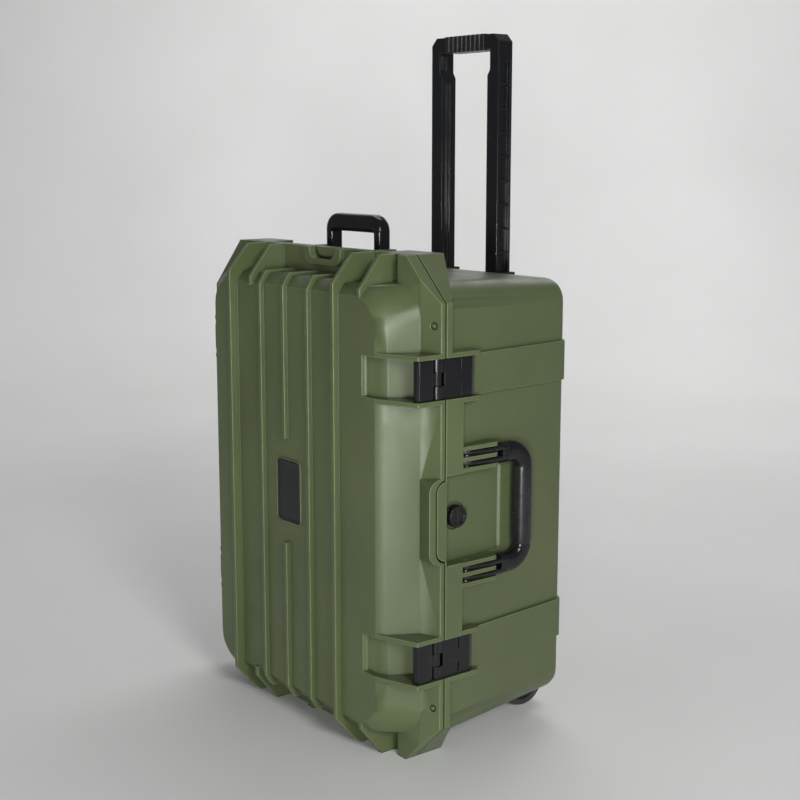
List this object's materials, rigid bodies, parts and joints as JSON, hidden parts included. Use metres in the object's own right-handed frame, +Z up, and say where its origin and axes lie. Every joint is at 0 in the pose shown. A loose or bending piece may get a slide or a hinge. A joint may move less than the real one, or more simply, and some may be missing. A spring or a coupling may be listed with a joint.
{
  "type": "wheeled hard equipment case",
  "caption": "Wheeled hard equipment case with a hinged ribbed lid, claw latches, folding side and end handles, a pressure valve and a sliding pull handle.",
  "frame": {"origin": "on the floor under the middle of the parting plane between lid and base, halfway across the width, with the case standing on its wheel end", "axes": "+Z up along the case's length, +Y towards the back of the base where the pull handle runs, +X towards the latches and the main handle; the lid hinges are at -X"},
  "size_m": [0.5125, 0.3411, 0.906],
  "materials": {
    "olive_shell": "fine grained moulded",
    "black_plastic": "glossy moulded",
    "black_satin": "satin moulded",
    "soft_grip": "soft over-moulded",
    "seal_rubber": "smooth",
    "tyre_rubber": "worn",
    "steel": "zinc plated",
    "brass": "turned",
    "membrane": "matt"
  },
  "bodies": {
    "base": {"base_shell": "olive_shell", "hinge_bushes": "brass", "padlock_eyelets_base": "steel", "main_handle_pins": "steel", "end_handle_pins": "steel", "valve_body": "black_satin", "valve_seal": "seal_rubber", "valve_nut": "black_satin", "valve_membrane": "membrane", "handle_track": "black_satin", "track_bushes": "black_satin", "track_screws": "steel", "left_wheel_housing": "black_satin", "right_wheel_housing": "black_satin", "wheel_housing_screws": "steel", "left_axle": "steel", "right_axle": "steel"},
    "lid": {"lid_shell": "olive_shell", "lid_gasket": "seal_rubber", "nameplate": "black_plastic", "hinge_pins": "steel", "padlock_eyelets_lid": "steel", "upper_latch_pin": "steel", "lower_latch_pin": "steel"},
    "upper_link": {"upper_latch_link": "black_plastic", "upper_lever_pin": "steel"},
    "upper_lever": {"upper_latch_lever": "black_plastic"},
    "lower_link": {"lower_latch_link": "black_plastic", "lower_lever_pin": "steel"},
    "lower_lever": {"lower_latch_lever": "black_plastic"},
    "main_handle": {"main_handle_frame": "black_plastic", "main_handle_grip": "soft_grip"},
    "top_handle": {"end_handle": "black_plastic"},
    "valve_cap": {"valve_knob": "black_plastic"},
    "pull_handle": {"pull_handle_frame": "black_plastic", "pull_handle_grip": "soft_grip", "pull_handle_shoes": "black_satin", "pull_handle_screws": "steel"},
    "left_wheel": {"left_wheel_tyre": "tyre_rubber", "left_wheel_hub": "black_satin", "left_wheel_bushes": "brass"},
    "right_wheel": {"right_wheel_tyre": "tyre_rubber", "right_wheel_hub": "black_satin", "right_wheel_bushes": "brass"}
  },
  "joints": [
    {"name": "lid_hinge", "type": "hinge", "parent": "base", "child": "lid", "pos_m": [-0.255, -0.0012, 0.315], "axis": [0, 0, -1], "range_deg": [0, 100]},
    {"name": "upper_latch_swing", "type": "hinge", "parent": "lid", "child": "upper_link", "pos_m": [0.2405, -0.035, 0.4874], "axis": [0, 0, -1], "range_deg": [0, 95]},
    {"name": "upper_latch_lift", "type": "hinge", "parent": "upper_link", "child": "upper_lever", "pos_m": [0.241, -0.008, 0.4874], "axis": [0, 0, -1], "range_deg": [0, 60]},
    {"name": "lower_latch_swing", "type": "hinge", "parent": "lid", "child": "lower_link", "pos_m": [0.2405, -0.035, 0.1426], "axis": [0, 0, -1], "range_deg": [0, 95]},
    {"name": "lower_latch_lift", "type": "hinge", "parent": "lower_link", "child": "lower_lever", "pos_m": [0.241, -0.008, 0.1426], "axis": [0, 0, -1], "range_deg": [0, 60]},
    {"name": "main_handle_fold", "type": "hinge", "parent": "base", "child": "main_handle", "pos_m": [0.241, 0.04, 0.315], "axis": [0, 0, -1], "range_deg": [0, 90]},
    {"name": "end_handle_fold", "type": "hinge", "parent": "base", "child": "top_handle", "pos_m": [0, 0.0575, 0.619], "axis": [-1, 0, 0], "range_deg": [0, 90]},
    {"name": "pull_handle_slide", "type": "slide", "parent": "base", "child": "pull_handle", "axis": [0, 0, 1], "range_m": [-0.29, 0]},
    {"name": "valve_turn", "type": "hinge", "parent": "base", "child": "valve_cap", "pos_m": [0.2375, 0.0279, 0.315], "axis": [1, 0, 0], "range_deg": [0, 180]},
    {"name": "left_wheel_spin", "type": "hinge", "parent": "base", "child": "left_wheel", "pos_m": [-0.143, 0.221, 0.035], "axis": [1, 0, 0], "continuous": true},
    {"name": "right_wheel_spin", "type": "hinge", "parent": "base", "child": "right_wheel", "pos_m": [0.143, 0.221, 0.035], "axis": [1, 0, 0], "continuous": true}
  ]
}
